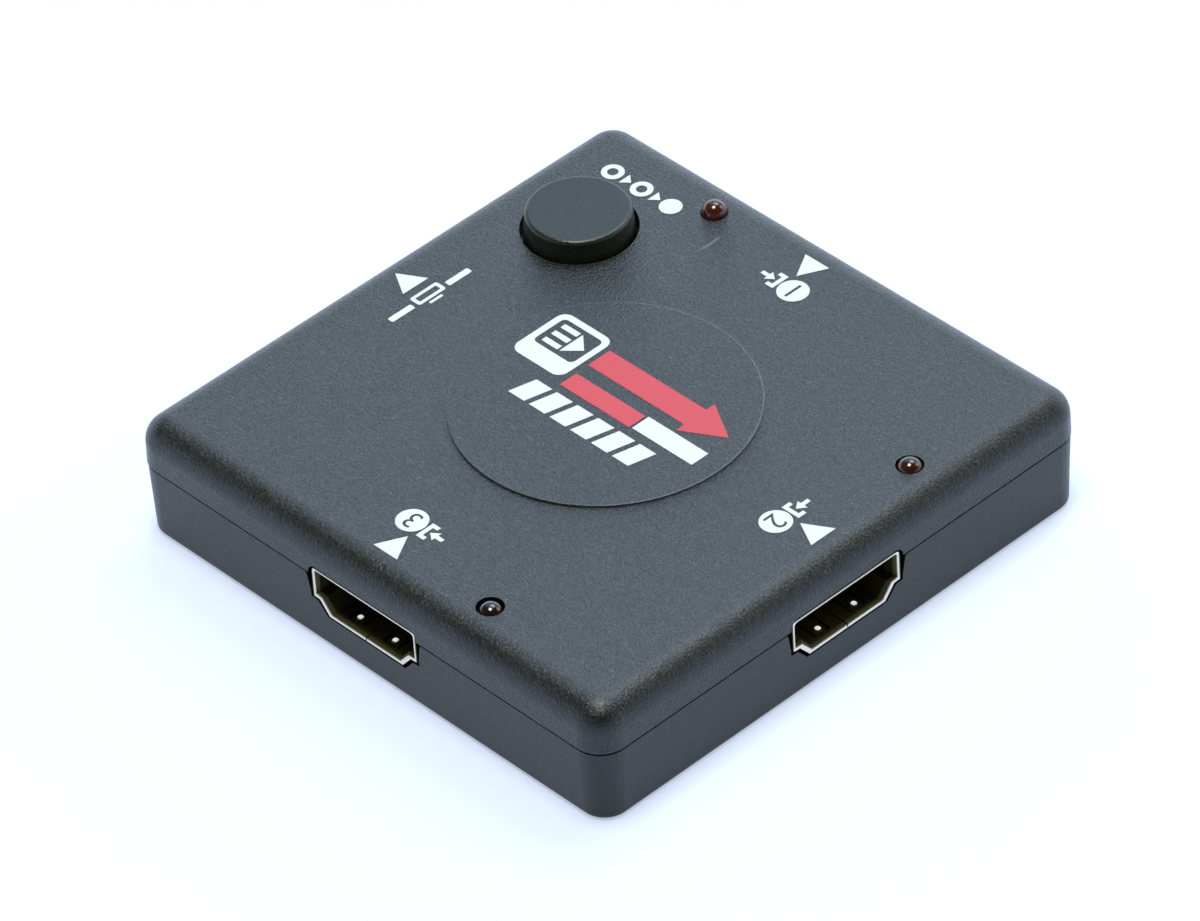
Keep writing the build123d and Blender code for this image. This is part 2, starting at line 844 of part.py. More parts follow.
with BuildPart() as regulator_leads:
    half = regulator_width / 2
    add_leads(
        regulator_x, regulator_y, 270, half, regulator_lead_count, regulator_lead_pitch, regulator_lead_width
    )
    add_leads(regulator_x, regulator_y, 90, half, 1, regulator_lead_pitch, regulator_tab_width)
save(regulator_leads, "regulator_leads")

# Filter capacitor: a can on a square base
with BuildPart() as filter_capacitor:
    with BuildSketch(switch_plane):
        with Locations(filter_place):
            Rectangle(filter_base_side, filter_base_side)
    extrude(amount=filter_base_height)
    with BuildSketch(switch_plane):
        with Locations(filter_place):
            Circle(filter_can_radius)
    extrude(amount=filter_can_height)
    fillet(filter_capacitor.edges().group_by(Axis.Z)[-1], filter_can_edge_radius)
save(filter_capacitor, "filter_capacitor")


def add_blocks(from_centre, count, pitch, length, width, height):
    """Rows of small soldered blocks, one row facing each side of the case."""
    for turn in port_angles.values():
        with BuildSketch(level_plane(turn, from_centre, board_top)) as row:
            with Locations(*[((i - (count - 1) / 2) * pitch, 0) for i in range(count)]):
                Rectangle(width, length)
        extrude(row.sketch, amount=height)


# Small capacitors round the main chip
with BuildPart() as ceramic_capacitors:
    add_blocks(
        capacitor_from_centre,
        capacitors_per_side,
        capacitor_pitch,
        capacitor_length,
        capacitor_width,
        capacitor_height,
    )
save(ceramic_capacitors, "ceramic_capacitors")

# Small resistors behind each socket
with BuildPart() as resistors:
    add_blocks(
        resistor_from_centre,
        resistors_per_port,
        resistor_pitch,
        resistor_length,
        resistor_width,
        resistor_height,
    )
save(resistors, "resistors")

# One diode beside each input socket
with BuildPart() as input_diodes:
    for port in ("in_1", "in_2", "in_3"):
        with BuildSketch(level_plane(port_angles[port], diode_from_centre, board_top)):
            with Locations((diode_along, 0)):
                Rectangle(diode_width, diode_length)
        extrude(amount=diode_height)
save(input_diodes, "input_diodes")
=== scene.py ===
import json
import math

import bpy
from mathutils import Matrix, Vector


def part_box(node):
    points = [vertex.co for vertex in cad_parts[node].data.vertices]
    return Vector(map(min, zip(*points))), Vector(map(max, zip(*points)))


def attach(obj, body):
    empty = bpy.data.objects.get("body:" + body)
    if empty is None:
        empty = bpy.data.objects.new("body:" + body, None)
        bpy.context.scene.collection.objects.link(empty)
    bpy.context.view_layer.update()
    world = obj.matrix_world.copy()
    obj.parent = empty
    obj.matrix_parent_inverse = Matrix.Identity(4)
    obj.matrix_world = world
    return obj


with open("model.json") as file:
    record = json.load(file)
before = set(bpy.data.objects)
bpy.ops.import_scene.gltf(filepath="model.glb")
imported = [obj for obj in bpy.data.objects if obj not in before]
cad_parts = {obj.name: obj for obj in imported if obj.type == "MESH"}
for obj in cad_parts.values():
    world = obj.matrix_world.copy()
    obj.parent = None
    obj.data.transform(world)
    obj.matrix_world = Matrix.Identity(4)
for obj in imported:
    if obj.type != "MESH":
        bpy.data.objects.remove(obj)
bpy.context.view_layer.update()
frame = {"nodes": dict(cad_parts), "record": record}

# Lengths are in millimetres, apart from the floor's side and the lamps, which are in metres
MM = 0.001

# Camera at the photograph's angle; its frame is 1200 x 921 pixels
camera_azimuth = math.radians(48.351)
camera_elevation = math.radians(40.109)
camera_roll = math.radians(-3.819)
camera_distance = 858.03
camera_target = Vector((-6.669, 4.708, 0.0))
camera_sensor = 36.0
camera_lens = 251.33
camera_clip = (10.0, 20000.0)


def direction(azimuth, elevation):
    """Unit vector from the object towards a place at this azimuth and elevation."""
    return Vector(
        (
            math.sin(azimuth) * math.cos(elevation),
            -math.cos(azimuth) * math.cos(elevation),
            math.sin(elevation),
        )
    )


def make_camera():
    back = direction(camera_azimuth, camera_elevation)
    level = Vector((math.cos(camera_azimuth), math.sin(camera_azimuth), 0.0))
    upright = back.cross(level)
    right = level * math.cos(camera_roll) + upright * math.sin(camera_roll)
    up = upright * math.cos(camera_roll) - level * math.sin(camera_roll)
    matrix = Matrix((right, up, back)).transposed().to_4x4()
    matrix.translation = (camera_target + back * camera_distance) * MM
    data = bpy.data.cameras.new("photo_camera")
    data.sensor_width = camera_sensor
    data.lens = camera_lens
    data.clip_start = camera_clip[0] * MM
    data.clip_end = camera_clip[1] * MM
    camera = bpy.data.objects.new("photo_camera", data)
    camera.matrix_world = matrix
    bpy.context.scene.collection.objects.link(camera)
    bpy.context.scene.camera = camera


make_camera()

# Moulded plastic of the covers and the button
case_color = (0.0062, 0.0072, 0.0040)
button_color = (0.0088, 0.0102, 0.0030)
plastic_ior = 1.485
plastic_tint = (0.9, 0.97, 1.0, 1.0)
noise_middle = (0.3, 0.7)
grain_detail = 3.0
grain_contrast = 0.7
cloud_size = 14.0
cloud_swing = 0.05
polish_swing = 0.07
# Bright specks of the grain: a little smoother, and lighter in colour as painted glints
speck_share = 0.55
speck_range = (0.88, 1.0)
speck_glint_color = (0.055, 0.06, 0.066)
speck_polish = 0.1

# Gap between the covers; above this level the lower cover loses its shine, painted shade in the seam
seam_level = 8.72
seam_soft = 0.04
usual_specular = 0.5

# Painted highlight along the line round the raised disc, strongest on the side away from the button
disc_line_radius = 15.98
disc_line_width = 0.12
disc_line_fade = (-9.0, 9.0)
disc_line_strength = (0.25, 1.0)
disc_highlight_color = (0.062, 0.066, 0.074)

# Scuff beside the lamp of input 1
scuff_place = (-10.47, 25.3)
scuff_bow = 0.05
scuff_width = 0.13
scuff_length = 3.6
scuff_color = (0.085, 0.09, 0.1)

# Printed ink
ink_grain = 0.2
ink_pinholes = (0.3, 0.75)
ink_shade = 0.9
ink_polish = (0.45, 0.6)
ink_relief = 0.004

# Plated sheet metal and wire
mark_size = 0.5
mark_detail = 4.0
mark_stretch = (1.0, 1.0, 6.0)
mark_middle = (0.25, 0.75)
mark_shade = 0.82
mark_spread = 0.3
mark_relief = 0.003

# Socket shells: the lip of the mouth and the bumps of the spring fingers keep the bright metal, the bumps
# also glow as a painted glint, and the metal deeper inside is darkened as painted shade
shell_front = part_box("socket_shell_in_2")[1].x / MM
lip_width = 0.08
lip_inner = shell_front - lip_width
lip_soft = 0.03
rim_top = 9.67
rim_side = 7.42
finger_offset = 2.55
bump_setback = 1.65
bump_outwards = shell_front - bump_setback
bump_reach = 0.2
bump_level = 5.15
bump_rise = 0.1
bump_painted_glint = 0.75
painted_glint_color = (1.0, 0.99, 0.95, 1.0)
shell_mark_size = 0.3
shell_mark_detail = 3.0
shell_bright_shade = 0.9
shell_shaded_tones = (0.7, 1.3)
shell_polish = (0.6, 0.3)
shell_relief = 0.002

# Dull plastic, board and ceramic
dull_grain = 0.3
dull_detail = 3.0
dull_shades = (0.8, 1.25)
dull_spread = 0.15
dull_relief = 0.004

# Resin of the lamps
resin_ior = 1.56
resin_swirl = 1.0
resin_shades = (0.7, 1.3)
resin_polish = (0.06, 0.12)
resin_relief = 0.004


class Material:
    """A node material with its principled shader, built up by short calls."""

    def __init__(self, name):
        self.material = bpy.data.materials.new(name)
        self.material.use_nodes = True
        self.nodes = self.material.node_tree.nodes
        self.links = self.material.node_tree.links
        self.shader = self.nodes["Principled BSDF"]
        self.place = self.nodes.new("ShaderNodeTexCoord").outputs["Object"]

    def set(self, **sockets):
        """Plain values on the shader's sockets, with underscores for spaces."""
        for name, value in sockets.items():
            self.shader.inputs[name.replace("_", " ")].default_value = value

    def link(self, output, socket):
        """A pattern on one of the shader's sockets."""
        self.links.new(output, self.shader.inputs[socket])

    def axis(self, index):
        """Distance from the origin along x, y or z, in millimetres."""
        split = self.nodes.new("ShaderNodeSeparateXYZ")
        self.links.new(self.place, split.inputs["Vector"])
        return self.math("MULTIPLY", split.outputs[index], 1 / MM)

    def near(self, value, centre, reach, soft):
        """One where a value is within reach of a centre, and zero further off."""
        off = self.math("ABSOLUTE", self.math("SUBTRACT", value, centre), 0.0)
        return self.range(off, reach + soft, reach)

    def noise(self, size, detail=2.0, roughness=0.5, stretch=None):
        """Noise whose lumps are about this many millimetres across."""
        node = self.nodes.new("ShaderNodeTexNoise")
        node.inputs["Scale"].default_value = 1.0 / (size * MM)
        node.inputs["Detail"].default_value = detail
        node.inputs["Roughness"].default_value = roughness
        place = self.place
        if stretch is not None:
            mapping = self.nodes.new("ShaderNodeMapping")
            mapping.inputs["Scale"].default_value = stretch
            self.links.new(place, mapping.inputs["Vector"])
            place = mapping.outputs["Vector"]
        self.links.new(place, node.inputs["Vector"])
        return node.outputs["Fac"]

    def cells(self, size):
        """A random value for each small cell, about this many millimetres across."""
        node = self.nodes.new("ShaderNodeTexVoronoi")
        node.inputs["Scale"].default_value = 1.0 / (size * MM)
        self.links.new(self.place, node.inputs["Vector"])
        split = self.nodes.new("ShaderNodeSeparateColor")
        self.links.new(node.outputs["Color"], split.inputs["Color"])
        return split.outputs["Red"]

    def range(self, value, low, high, to_low=0.0, to_high=1.0):
        """A value carried over from one range to another, and held at its ends."""
        node = self.nodes.new("ShaderNodeMapRange")
        self.links.new(value, node.inputs["Value"])
        node.inputs["From Min"].default_value = low
        node.inputs["From Max"].default_value = high
        node.inputs["To Min"].default_value = to_low
        node.inputs["To Max"].default_value = to_high
        return node.outputs["Result"]

    def math(self, operation, first, second):
        """One sum of two values, each a pattern or a number."""
        node = self.nodes.new("ShaderNodeMath")
        node.operation = operation
        for socket, value in zip(node.inputs, (first, second)):
            if isinstance(value, (int, float)):
                socket.default_value = value
            else:
                self.links.new(value, socket)
        return node.outputs["Value"]

    def mix(self, factor, first, second):
        """The first colour where the factor is zero and the second where it is one."""
        node = self.nodes.new("ShaderNodeMix")
        node.data_type = "RGBA"
        self.links.new(factor, node.inputs["Factor"])
        for index, value in ((6, first), (7, second)):
            if isinstance(value, tuple):
                node.inputs[index].default_value = (*value, 1.0)
            else:
                self.links.new(value, node.inputs[index])
        return node.outputs[2]

    def bump(self, height, depth):
        """Relief of this depth in millimetres."""
        node = self.nodes.new("ShaderNodeBump")
        node.inputs["Strength"].default_value = 1.0
        node.inputs["Distance"].default_value = depth * MM
        self.links.new(height, node.inputs["Height"])
        self.link(node.outputs["Normal"], "Normal")


def scaled(color, factor):
    """A colour made lighter or darker by a factor."""
    return tuple(min(1.0, channel * factor) for channel in color)


def scuff(made):
    """A faint bowed scuff, where the grain is rubbed flat."""
    along = made.math("SUBTRACT", made.axis(1), scuff_place[1])
    bow = made.math("MULTIPLY", made.math("MULTIPLY", along, along), scuff_bow)
    across = made.math("ADD", made.axis(0), bow)
    line = made.near(across, scuff_place[0], scuff_width / 2, scuff_width)
    return made.math("MULTIPLY", line, made.near(along, 0.0, scuff_length / 4, scuff_length / 4))


def disc_edge_highlight(made):
    """Painted highlight along the edge of the raised disc, strongest on the side away from the button."""
    x, y = made.axis(0), made.axis(1)
    squares = made.math("ADD", made.math("MULTIPLY", x, x), made.math("MULTIPLY", y, y))
    radius = made.math("SQRT", squares, 0.0)
    line = made.near(radius, disc_line_radius, disc_line_width / 2, disc_line_width / 2)
    side = made.range(made.math("ADD", x, y), *disc_line_fade, *disc_line_strength)
    return made.math("MULTIPLY", line, side)


def paint_seam_shade(made):
    """Painted shade: the lower cover does not shine in the gap between the two covers."""
    open_part = made.range(made.axis(2), seam_level, seam_level + seam_soft, 1.0, 0.0)
    made.link(made.math("MULTIPLY", open_part, usual_specular), "Specular IOR Level")


def moulded_plastic(name, color, grain_size, grain_depth, speckle, roughness, scuff_and_highlight=False):
    """Grained plastic with a few bright specks that carry painted glints, very faint clouds and, if asked,
    the scuff on the top and a painted highlight round its raised disc.
    """
    made = Material(name)
    made.set(IOR=plastic_ior, Specular_Tint=plastic_tint)
    grain = made.noise(grain_size, grain_detail, grain_contrast)
    clouds = made.range(made.noise(cloud_size), *noise_middle)
    tone = made.mix(clouds, scaled(color, 1 - cloud_swing), scaled(color, 1 + cloud_swing))
    specks = made.range(made.cells(grain_size * speck_share), *speck_range, 0.0, speckle)
    # Specks lightened in colour as painted glints
    tone = made.mix(specks, tone, speck_glint_color)
    if scuff_and_highlight:
        tone = made.mix(scuff(made), tone, scuff_color)
        # Painted highlight round the raised disc's edge
        tone = made.mix(disc_edge_highlight(made), tone, disc_highlight_color)
    made.link(tone, "Base Color")
    polish = made.range(grain, *noise_middle, roughness + polish_swing, roughness - polish_swing)
    made.link(made.math("SUBTRACT", polish, made.math("MULTIPLY", specks, speck_polish)), "Roughness")
    made.bump(grain, grain_depth)
    return made


def printed_ink(name, color):
    """Pad-printed ink, with a few pinholes and a soft gloss."""
    made = Material(name)
    fine = made.noise(ink_grain)
    made.link(made.mix(made.range(fine, *ink_pinholes), scaled(color, ink_shade), color), "Base Color")
    made.link(made.range(fine, *noise_middle, *ink_polish), "Roughness")
    made.bump(fine, ink_relief)
    return made.material


def plated_metal(name, color, roughness):
    """Plated sheet metal, with fine rolling marks and dull patches."""
    made = Material(name)
    made.set(Metallic=1.0)
    marks = made.noise(mark_size, mark_detail, stretch=mark_stretch)
    made.link(made.mix(marks, scaled(color, mark_shade), color), "Base Color")
    made.link(made.range(marks, *mark_middle, roughness, roughness + mark_spread), "Roughness")
    made.bump(marks, mark_relief)
    return made.material


def shell_metal(name, bright, shaded_inside):
    """Plated shell of a socket: bright at the mouth and on the bumps, which also glow as a painted glint,
    and darkened deep inside as painted shade.
    """
    made = Material(name)
    x = made.math("ABSOLUTE", made.axis(0), 0.0)
    y = made.math("ABSOLUTE", made.axis(1), 0.0)
    outwards = made.math("MAXIMUM", x, y)
    along = made.math("MINIMUM", x, y)
    mouth = made.range(outwards, lip_inner - lip_soft, lip_inner)
    mouth = made.math("MULTIPLY", mouth, made.range(made.axis(2), rim_top, rim_top + lip_soft, 1.0, 0.0))
    mouth = made.math("MULTIPLY", mouth, made.range(along, rim_side, rim_side + lip_soft, 1.0, 0.0))
    bump = made.near(along, finger_offset, bump_reach, bump_reach)
    bump = made.math("MULTIPLY", bump, made.near(outwards, bump_outwards, bump_reach, bump_reach))
    bump = made.math("MULTIPLY", bump, made.near(made.axis(2), bump_level, bump_rise, bump_rise))
    lit_parts = made.math("MAXIMUM", mouth, bump)
    marks = made.noise(shell_mark_size, shell_mark_detail)
    shine = made.mix(marks, scaled(bright, shell_bright_shade), bright)
    # Deep inside, darker copies of the metal: painted shade
    dull = made.mix(marks, *(scaled(shaded_inside, shade) for shade in shell_shaded_tones))
    made.link(made.mix(lit_parts, dull, shine), "Base Color")
    # Painted glint: the bumps glow a little
    made.set(Metallic=1.0, Emission_Color=painted_glint_color)
    made.link(made.math("MULTIPLY", bump, bump_painted_glint), "Emission Strength")
    made.link(made.range(lit_parts, 0.0, 1.0, *shell_polish), "Roughness")
    made.bump(marks, shell_relief)
    return made.material


def dull_plastic(name, color, roughness=0.6):
    """Plain moulding, solder mask or fired ceramic, with a fine uneven surface."""
    made = Material(name)
    fine = made.noise(dull_grain, dull_detail)
    made.link(made.mix(fine, *(scaled(color, shade) for shade in dull_shades)), "Base Color")
    made.link(made.range(fine, *noise_middle, roughness, roughness + dull_spread), "Roughness")
    made.bump(fine, dull_relief)
    return made.material


def lamp_resin(name, color):
    """Dark clear resin of an indicator lamp that is off."""
    made = Material(name)
    made.set(IOR=resin_ior)
    swirl = made.noise(resin_swirl)
    cloudy = made.range(swirl, *noise_middle)
    made.link(made.mix(cloudy, *(scaled(color, shade) for shade in resin_shades)), "Base Color")
    made.link(made.range(swirl, *noise_middle, *resin_polish), "Roughness")
    made.bump(swirl, resin_relief)
    return made.material


upper = moulded_plastic("upper_plastic", case_color, 0.33, 0.11, 0.6, 0.26, scuff_and_highlight=True)
lower = moulded_plastic("lower_plastic", case_color, 0.34, 0.03, 0.15, 0.4)
paint_seam_shade(lower)
button = moulded_plastic("button_plastic", button_color, 0.3, 0.03, 0.3, 0.33)

materials = {
    "upper_plastic": upper.material,
    "lower_plastic": lower.material,
    "button_plastic": button.material,
    "white_ink": printed_ink("white_ink", (0.58, 0.61, 0.6)),
    "red_ink": printed_ink("red_ink", (0.47, 0.036, 0.05)),
    # Second colour of the shells: painted shade deep inside
    "socket_metal": shell_metal("socket_metal", (0.78, 0.73, 0.63), (0.1, 0.09, 0.035)),
    "contact_metal": plated_metal("contact_metal", (0.8, 0.58, 0.26), 0.2),
    "lead_metal": plated_metal("lead_metal", (0.68, 0.68, 0.67), 0.3),
    "screw_steel": plated_metal("screw_steel", (0.2, 0.2, 0.21), 0.35),
    "can_metal": plated_metal("can_metal", (0.72, 0.72, 0.73), 0.25),
    "black_plastic": dull_plastic("black_plastic", (0.03, 0.03, 0.012)),
    "board_mask": dull_plastic("board_mask", (0.012, 0.09, 0.035), 0.3),
    "ceramic": dull_plastic("ceramic", (0.36, 0.26, 0.16), 0.5),
    # One resin for all three lamps; the second and third sit deeper in their holes and get darker copies,
    # painted shade
    "lamp_1_resin": lamp_resin("lamp_1_resin", (0.045, 0.009, 0.004)),
    "lamp_2_resin_shaded": lamp_resin("lamp_2_resin_shaded", (0.028, 0.010, 0.005)),
    "lamp_3_resin_shaded": lamp_resin("lamp_3_resin_shaded", (0.010, 0.006, 0.005)),
}

# Material of each slot in the record, and of the nodes that have one of their own
slot_materials = {
    "button_plastic": "button_plastic",
    "screw_steel": "screw_steel",
    "board": "board_mask",
    "socket_metal": "socket_metal",
    "black_plastic": "black_plastic",
    "contact_metal": "contact_metal",
    "lead_metal": "lead_metal",
    "capacitor_can": "can_metal",
    "ceramic": "ceramic",
}
node_materials = {
    "top_cover": "upper_plastic",
    "bottom_cover": "lower_plastic",
    "led_1_lens": "lamp_1_resin",
    "led_2_lens": "lamp_2_resin_shaded",
    "led_3_lens": "lamp_3_resin_shaded",
}


def dress_nodes():
    """Gives each node of the frame its material."""
    slots = {part["node"]: part["material_slot"] for part in frame["record"]["subparts"]}
    for name, node in frame["nodes"].items():
        chosen = node_materials.get(name) or slot_materials[slots[name]]
        if not node.material_slots:
            node.data.materials.append(materials[chosen])
        for held in node.material_slots:
            held.material = materials[chosen]


dress_nodes()

# Printed signs on the top: heights of its two levels, and of the ink above and below them
disc_rise = 0.25
case_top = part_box("top_cover")[1].z / MM - disc_rise
disc_top = case_top + disc_rise
ink_above = 0.02
ink_below = 0.01
arc_steps = 10
numeral_boldness = 0.012

# Sign of an input, drawn with its socket away along +Y
input_triangle = [(-2.0, 30.6), (1.43, 30.6), (-0.2, 27.45)]
input_disc_centre = (1.25, 25.5)
input_disc_radius = 1.72
input_numeral_height = 2.3
input_bracket = [
    (-1.75, 24.4), (-0.65, 24.4), (-0.65, 26.8), (-1.75, 26.8),
    (-1.75, 26.3), (-1.15, 26.3), (-1.15, 24.9), (-1.75, 24.9),
]
input_arrow = [
    (-3.3, 25.35), (-2.4, 25.35), (-2.4, 24.9), (-1.45, 25.6),
    (-2.4, 26.3), (-2.4, 25.85), (-3.3, 25.85),
]

# Sign of the output, drawn with its socket away along +Y
output_triangle = [(-1.77, 27.95), (1.77, 27.95), (0.0, 31.04)]
output_screen = (-1.9, 25.35, 1.9, 26.9, 0.3)
output_glass = (-1.45, 25.75, 1.45, 26.5, 0.1)
output_foot = (-0.9, 24.7, 0.9, 25.05, 0.1)
output_bars = ((-5.6, 25.4, -2.4, 26.2, 0.2), (2.4, 25.4, 5.6, 26.2, 0.2))

# Sign of the button: places along the row, and sizes of dots and arrows
select_place = (-22.2, 26.8)
select_dots = (-4.3, 0.0, 4.3)
select_dot_radius = 1.25
select_hole_radius = 0.6
select_arrows = (-2.15, 2.15)
select_arrow_tail = -0.45
select_arrow_tip = 0.6
select_arrow_half = 0.85

# Sign in the middle
centre_frame = (-13.4, -0.5, -6.15, 7.3, 1.2)
centre_window = (-12.6, 1.9, -6.9, 6.5, 0.6)
centre_lines = ((-11.9, 2.5, -9.6, 3.2), (-11.9, 3.85, -9.6, 4.55), (-11.9, 5.2, -9.6, 5.9))
centre_head = [(-9.3, 2.5), (-7.4, 4.2), (-9.3, 5.9)]
centre_arrow = [(-5.5, 2.9), (8.4, 2.9), (8.4, 1.7), (13.2, 4.45), (8.4, 7.2), (8.4, 6.0), (-5.5, 6.0)]
centre_red_strip = (-5.4, -1.15, 4.6, 1.2)
centre_white_strip = (4.9, -1.0, 13.4, 1.35)
centre_bar_lows = (-8.5, -5.5, -2.5, 0.5, 3.5, 6.5)
centre_bar_width = 2.3
centre_bar_rows = (-5.4, -2.2)
centre_bar_lean = 0.25


def ink_piece(name, outlines, place, material="white_ink"):
    """A thin layer of ink: closed outlines, open again where one lies in another."""
    curve = bpy.data.curves.new(name, "CURVE")
    curve.dimensions = "2D"
    curve.fill_mode = "BOTH"
    curve.extrude = (ink_above + ink_below) / 2
    for outline in outlines:
        spline = curve.splines.new("POLY")
        spline.points.add(len(outline) - 1)
        for point, (x, y) in zip(spline.points, outline):
            point.co = (x, y, 0.0, 1.0)
        spline.use_cyclic_u = True
    source = bpy.data.objects.new(name + "_outline", curve)
    mesh = bpy.data.meshes.new_from_object(source)
    bpy.data.objects.remove(source)
    mesh.name = name
    mesh.transform(Matrix.Scale(MM, 4) @ place)
    mesh.materials.clear()
    mesh.materials.append(materials[material])
    piece = bpy.data.objects.new(name, mesh)
    bpy.context.scene.collection.objects.link(piece)
    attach(piece, "case")


def on_top(x, y, turn, height):
    """Place for a sign on the top: its centre, its turn in degrees and the surface's height."""
    middle = height + (ink_above - ink_below) / 2
    return Matrix.Translation((x, y, middle)) @ Matrix.Rotation(math.radians(turn), 4, "Z")


def arc(x, y, radius, start, end, steps=arc_steps):
    """Points along an arc, from one angle in degrees to another."""
    angles = [math.radians(start + (end - start) * i / steps) for i in range(steps + 1)]
    return [(x + radius * math.cos(a), y + radius * math.sin(a)) for a in angles]


def circle(x, y, radius):
    """Points round a circle, which ends where it started."""
    return arc(x, y, radius, 0, 360, 6 * arc_steps)[:-1]


def block(low_x, low_y, high_x, high_y, radius=0.0, lean=0.0):
    """A box outline with rounded corners, leaning over to the right by a share of its height."""
    if radius:
        points = (
            arc(high_x - radius, low_y + radius, radius, -90, 0)
            + arc(high_x - radius, high_y - radius, radius, 0, 90)
            + arc(low_x + radius, high_y - radius, radius, 90, 180)
            + arc(low_x + radius, low_y + radius, radius, 180, 270)
        )
    else:
        points = [(low_x, low_y), (high_x, low_y), (high_x, high_y), (low_x, high_y)]
    return [(x + lean * (y - low_y), y) for x, y in points]


def numeral(character, height, x, y):
    """Outlines of a plain numeral of this height, centred on a point."""
    text = bpy.data.curves.new("numeral", "FONT")
    text.body = character
    text.fill_mode = "NONE"
    text.offset = numeral_boldness
    source = bpy.data.objects.new("numeral", text)
    mesh = bpy.data.meshes.new_from_object(source)
    bpy.data.objects.remove(source)
    following = {}
    for edge in mesh.edges:
        first, second = edge.vertices
        following.setdefault(first, []).append(second)
        following.setdefault(second, []).append(first)
    points = [(v.co.x, v.co.y) for v in mesh.vertices]
    low = [min(p[i] for p in points) for i in (0, 1)]
    high = [max(p[i] for p in points) for i in (0, 1)]
    middle = [(low[i] + high[i]) / 2 for i in (0, 1)]
    scale = height / (high[1] - low[1])
    outlines, left = [], set(following)
    while left:
        here = min(left)
        loop = []
        while here in left:
            left.remove(here)
            loop.append(here)
            here = next((n for n in following[here] if n in left), here)
        outlines.append(
            [(x + scale * (points[i][0] - middle[0]), y + scale * (points[i][1] - middle[1])) for i in loop]
        )
    return outlines


def make_input_sign(name, digit, angle):
    """Sign of an input: a triangle that points inwards, a numbered disc and an arrow into a bracket."""
    place = on_top(0, 0, angle - 90, case_top)
    ink_piece(name + "_sign_triangle", [input_triangle], place)
    disc = circle(*input_disc_centre, input_disc_radius)
    ink_piece(name + "_sign_disc", [disc, *numeral(digit, input_numeral_height, *input_disc_centre)], place)
    ink_piece(name + "_sign_arrow", [input_bracket, input_arrow], place)


def make_output_sign():
    """Sign of the output: a triangle that points outwards, and a screen between two bars."""
    place = on_top(0, 0, 90, case_top)
    ink_piece("output_sign_triangle", [output_triangle], place)
    screen = [block(*corners) for corners in (output_screen, output_glass, output_foot)]
    ink_piece("output_sign_screen", screen, place)
    ink_piece("output_sign_bars", [block(*corners) for corners in output_bars], place)


def make_select_sign():
    """Sign of the button: three dots in a row, the last one full, with an arrow from each to the next."""
    shapes = [circle(x, 0, select_dot_radius) for x in select_dots]
    shapes += [circle(x, 0, select_hole_radius) for x in select_dots[:-1]]
    tail, tip, half = select_arrow_tail, select_arrow_tip, select_arrow_half
    shapes += [[(x + tail, -half), (x + tip, 0), (x + tail, half)] for x in select_arrows]
    ink_piece("select_sign", shapes, on_top(*select_place, 0, case_top))


def make_centre_sign():
    """Sign in the middle: a framed pictogram, a wide arrow, two strips and a row of bars."""
    place = on_top(0, 0, 0, disc_top)
    outlines = [block(*centre_frame), block(*centre_window), *(block(*line) for line in centre_lines)]
    ink_piece("centre_sign_frame", [*outlines, centre_head], place)
    ink_piece("centre_sign_arrow", [centre_arrow], place, "red_ink")
    ink_piece("centre_sign_red_strip", [block(*centre_red_strip)], place, "red_ink")
    ink_piece("centre_sign_white_strip", [block(*centre_white_strip)], place)
    low, high = centre_bar_rows
    bars = [block(x, low, x + centre_bar_width, high, lean=centre_bar_lean) for x in centre_bar_lows]
    ink_piece("centre_sign_bars", bars, place)


make_input_sign("input_1", "1", 90)
make_input_sign("input_2", "2", 0)
make_input_sign("input_3", "3", 270)
make_output_sign()
make_select_sign()
make_centre_sign()

# White floor, which fills the background; its side is in metres
floor_side = 4.0
floor_drop = 0.02
floor_color = (0.37, 0.42, 0.52)
floor_glow = (0.43, 0.48, 0.57)

# Studio: a screen and a bright patch above and behind the object, and the horizon round it.
# An edge gives the cosines of the angle from a direction at which a part begins and is full.
room_color = (0.03, 0.03, 0.022)
screen_color = (0.74, 1.02, 1.46)
screen_direction = Vector((-0.42, 0.56, 0.714))
screen_edge = (0.74, 0.93)
patch_color = (5.6, 6.2, 7.0)
patch_direction = Vector((-0.2, 0.52, 0.83))
patch_edge = (0.95, 0.985)
side_color = (1.2, 1.35, 1.6)
rear_color = (2.3, 2.6, 3.0)
rear_direction = Vector((-0.75, 0.66, 0.0))
rear_edge = (0.1, 0.8)
front_color = (0.3, 0.34, 0.4)
front_edge = (-0.5, -0.85)
upwards = Vector((0.0, 0.0, 1.0))
horizon_edge = (0.5, 0.12)

# Softboxes: direction, distance and side in metres, watts, and colour
softboxes = {
    "overhead_softbox": ((0.03, -0.08, 1.0), 1.0, 0.34, 9.5, (1.0, 0.99, 0.98)),
    "side_softbox": ((0.33, 0.76, 0.52), 1.2, 0.5, 2.5, (1.0, 0.99, 0.97)),
}


def shown_white(nodes, links):
    """One for the camera's own rays and for those that a shiny or clear surface sends on."""
    path = nodes.new("ShaderNodeLightPath")
    most = path.outputs["Is Camera Ray"]
    for name in ("Is Glossy Ray", "Is Transmission Ray"):
        larger = nodes.new("ShaderNodeMath")
        larger.operation = "MAXIMUM"
        links.new(most, larger.inputs[0])
        links.new(path.outputs[name], larger.inputs[1])
        most = larger.outputs["Value"]
    return most


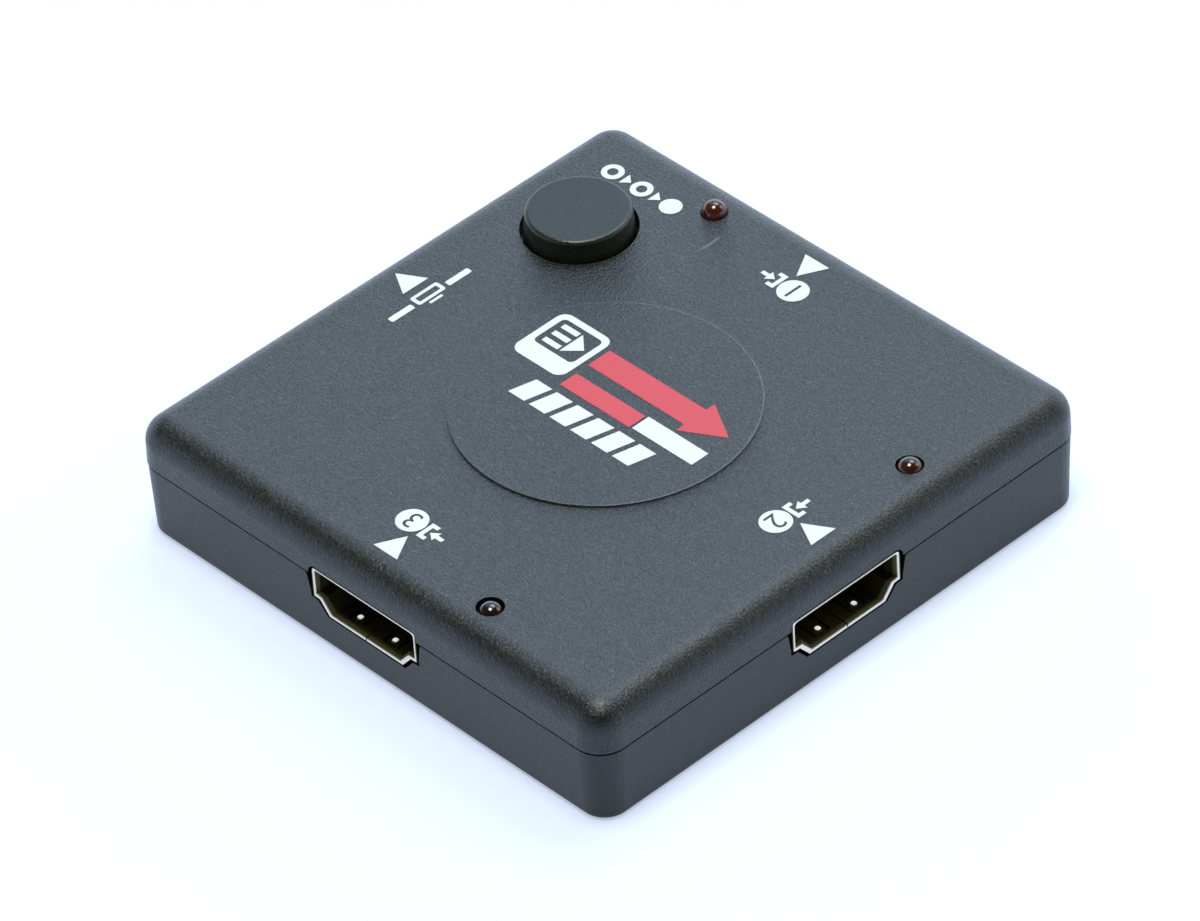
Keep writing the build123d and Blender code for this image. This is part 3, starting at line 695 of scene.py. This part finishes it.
def make_floor():
    """Floor just under the object: paper that takes its shadow, with a glow that makes it white."""
    half = floor_side / 2
    mesh = bpy.data.meshes.new("floor")
    corners = [(-half, -half), (half, -half), (half, half), (-half, half)]
    mesh.from_pydata([(x, y, -floor_drop * MM) for x, y in corners], [], [(0, 1, 2, 3)])
    material = bpy.data.materials.new("floor")
    material.use_nodes = True
    nodes, links = material.node_tree.nodes, material.node_tree.links
    nodes.clear()
    output = nodes.new("ShaderNodeOutputMaterial")
    paper = nodes.new("ShaderNodeBsdfDiffuse")
    paper.inputs["Color"].default_value = (*floor_color, 1.0)
    glow = nodes.new("ShaderNodeEmission")
    glow.inputs["Color"].default_value = (*floor_glow, 1.0)
    links.new(shown_white(nodes, links), glow.inputs["Strength"])
    both = nodes.new("ShaderNodeAddShader")
    links.new(paper.outputs["BSDF"], both.inputs[0])
    links.new(glow.outputs["Emission"], both.inputs[1])
    links.new(both.outputs["Shader"], output.inputs["Surface"])
    mesh.materials.append(material)
    floor = bpy.data.objects.new("floor", mesh)
    bpy.context.scene.collection.objects.link(floor)


def make_world():
    """Dim studio with its screen and patch overhead, and a horizon bright behind and dim in front."""
    world = bpy.data.worlds.new("studio")
    bpy.context.scene.world = world
    world.use_nodes = True
    nodes, links = world.node_tree.nodes, world.node_tree.links
    nodes.clear()
    place = nodes.new("ShaderNodeTexCoord").outputs["Generated"]

    def towards(axis):
        product = nodes.new("ShaderNodeVectorMath")
        product.operation = "DOT_PRODUCT"
        product.inputs[1].default_value = axis.normalized()
        links.new(place, product.inputs[0])
        return product.outputs["Value"]

    def blend(value, edge, outside, inside):
        share = nodes.new("ShaderNodeMapRange")
        share.interpolation_type = "SMOOTHSTEP"
        share.inputs["From Min"].default_value = edge[0]
        share.inputs["From Max"].default_value = edge[1]
        links.new(value, share.inputs["Value"])
        mixed = nodes.new("ShaderNodeMix")
        mixed.data_type = "RGBA"
        links.new(share.outputs["Result"], mixed.inputs["Factor"])
        for index, color in ((6, outside), (7, inside)):
            if isinstance(color, tuple):
                mixed.inputs[index].default_value = (*color, 1.0)
            else:
                links.new(color, mixed.inputs[index])
        return mixed.outputs[2]

    rear = towards(rear_direction)
    horizon = blend(rear, rear_edge, side_color, rear_color)
    horizon = blend(rear, front_edge, horizon, front_color)
    overhead = blend(towards(screen_direction), screen_edge, room_color, screen_color)
    overhead = blend(towards(patch_direction), patch_edge, overhead, patch_color)
    studio = nodes.new("ShaderNodeBackground")
    links.new(blend(towards(upwards), horizon_edge, overhead, horizon), studio.inputs["Color"])
    output = nodes.new("ShaderNodeOutputWorld")
    links.new(studio.outputs["Background"], output.inputs["Surface"])


def make_lamp(name, towards, distance, side, power, color):
    """A square softbox that looks at the object from this direction."""
    data = bpy.data.lights.new(name, "AREA")
    data.shape = "SQUARE"
    data.size = side
    data.energy = power
    data.color = color
    lamp = bpy.data.objects.new(name, data)
    towards = Vector(towards).normalized()
    lamp.location = towards * distance
    lamp.rotation_mode = "QUATERNION"
    lamp.rotation_quaternion = towards.to_track_quat("Z", "Y")
    bpy.context.scene.collection.objects.link(lamp)


make_floor()
make_world()
for softbox, values in softboxes.items():
    make_lamp(softbox, *values)

bpy.context.scene.view_settings.view_transform = "Standard"
